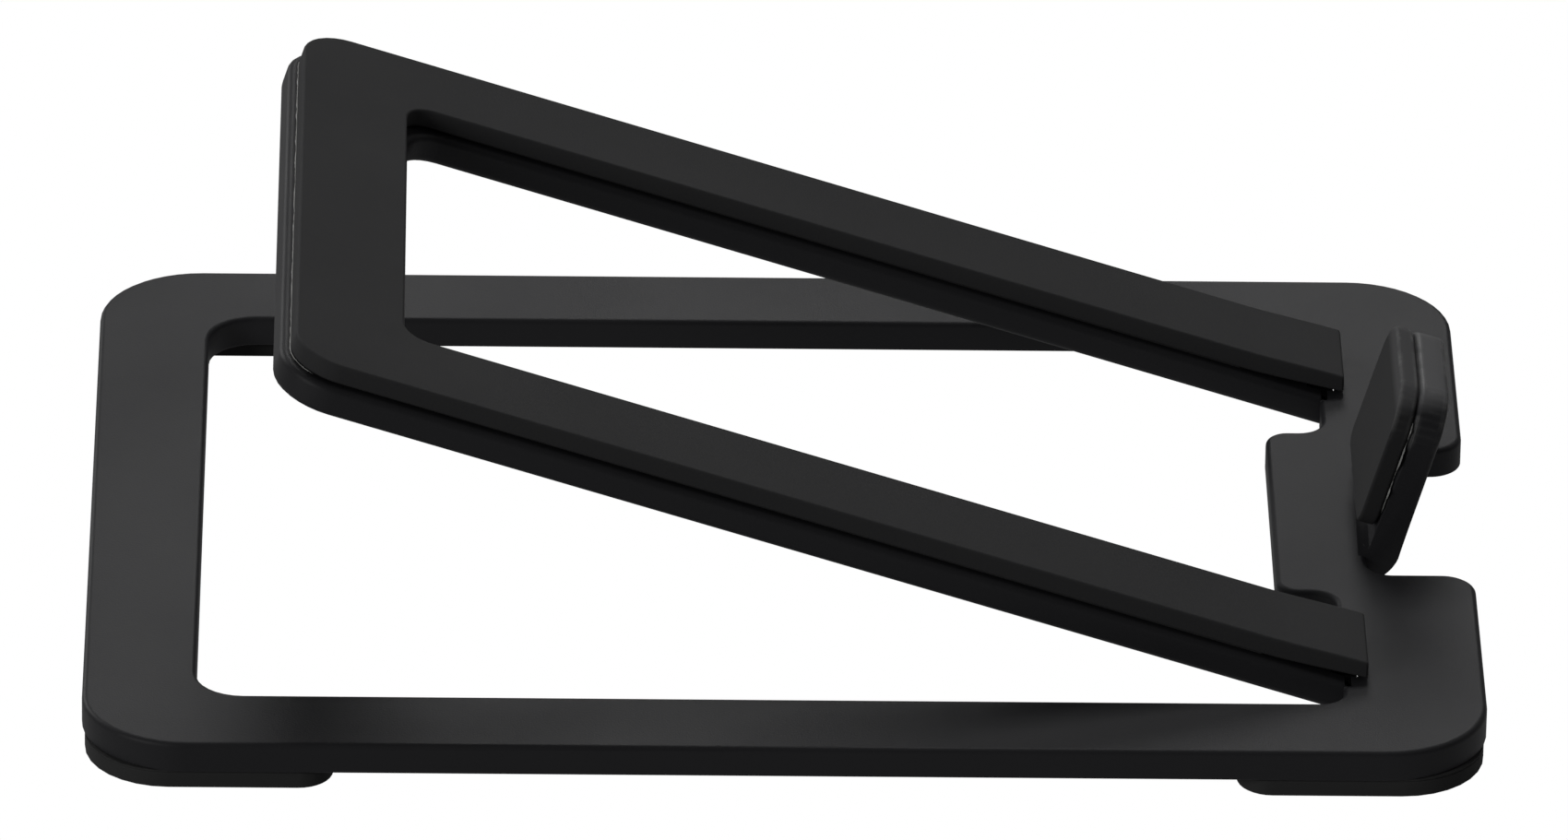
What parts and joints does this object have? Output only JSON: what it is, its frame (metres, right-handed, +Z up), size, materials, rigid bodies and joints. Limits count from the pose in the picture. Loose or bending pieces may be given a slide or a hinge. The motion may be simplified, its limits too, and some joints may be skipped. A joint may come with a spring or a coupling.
{
  "type": "laptop stand",
  "caption": "Folding laptop stand: a flat open base plate with a bent-up padded stop, and a U-shaped padded frame that swings up on friction hinges at the front.",
  "frame": {"origin": "under the middle of the base, on the surface that the feet stand on", "axes": "+X from the back of the stand to the stop at the user's side, +Y across the stand, +Z up"},
  "size_m": [0.22, 0.1626, 0.0645],
  "materials": {
    "powder_coat": "satin black fine-grain powder coat on steel plate",
    "pad_rubber": "matt black rubber sheet, lightly grained",
    "foot_rubber": "dark matt rubber, moulded",
    "hinge_leaf": "blackened stamped steel",
    "hinge_steel": "dark ground steel, lightly greased",
    "screw_steel": "blackened countersunk steel screws"
  },
  "bodies": {
    "base": {"base_plate": "powder_coat", "stop_pad": "pad_rubber", "foot_front_near": "foot_rubber", "foot_front_far": "foot_rubber", "foot_back_near": "foot_rubber", "foot_back_far": "foot_rubber", "near_hinge_base_leaf": "hinge_leaf", "near_hinge_pin": "hinge_steel", "near_hinge_washer_a": "hinge_steel", "near_hinge_washer_b": "hinge_steel", "near_base_screw_a": "screw_steel", "near_base_screw_b": "screw_steel", "far_hinge_base_leaf": "hinge_leaf", "far_hinge_pin": "hinge_steel", "far_hinge_washer_a": "hinge_steel", "far_hinge_washer_b": "hinge_steel", "far_base_screw_a": "screw_steel", "far_base_screw_b": "screw_steel"},
    "lift": {"lift_frame": "powder_coat", "frame_pad": "pad_rubber", "near_hinge_lift_leaf": "hinge_leaf", "near_lift_screw_a": "screw_steel", "near_lift_screw_b": "screw_steel", "far_hinge_lift_leaf": "hinge_leaf", "far_lift_screw_a": "screw_steel", "far_lift_screw_b": "screw_steel"}
  },
  "joints": [
    {"name": "frame_hinge", "type": "hinge", "parent": "base", "child": "lift", "pos_m": [0.0879, 0, 0.0056], "axis": [0, 1, 0], "range_deg": [-17.7, 0]}
  ]
}
